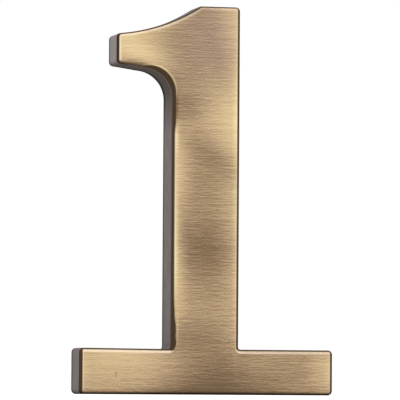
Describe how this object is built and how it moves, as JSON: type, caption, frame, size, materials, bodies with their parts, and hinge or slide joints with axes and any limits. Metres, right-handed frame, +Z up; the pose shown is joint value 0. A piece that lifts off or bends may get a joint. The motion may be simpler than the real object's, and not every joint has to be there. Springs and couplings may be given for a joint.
{
  "type": "house number",
  "caption": "Cast brass house number one with a curved flag, a wide foot, a brushed face with a rounded dark edge, and a hollow back with tapped bosses for wall studs.",
  "frame": {"origin": "on the back plane that seats on the wall, midway between the two tapped fixing holes on the stem's centre line", "axes": "+Z up the numeral, +X to the reader's right, +Y out of the back towards the wall, so the face looks along -Y"},
  "size_m": [0.0852, 0.0127, 0.127],
  "materials": {
    "antique_brass": "antique brass, brushed bright across the face and left dark on the rounded edge, the sides and the back"
  },
  "bodies": {
    "root": {"numeral": "antique_brass"}
  },
  "joints": []
}
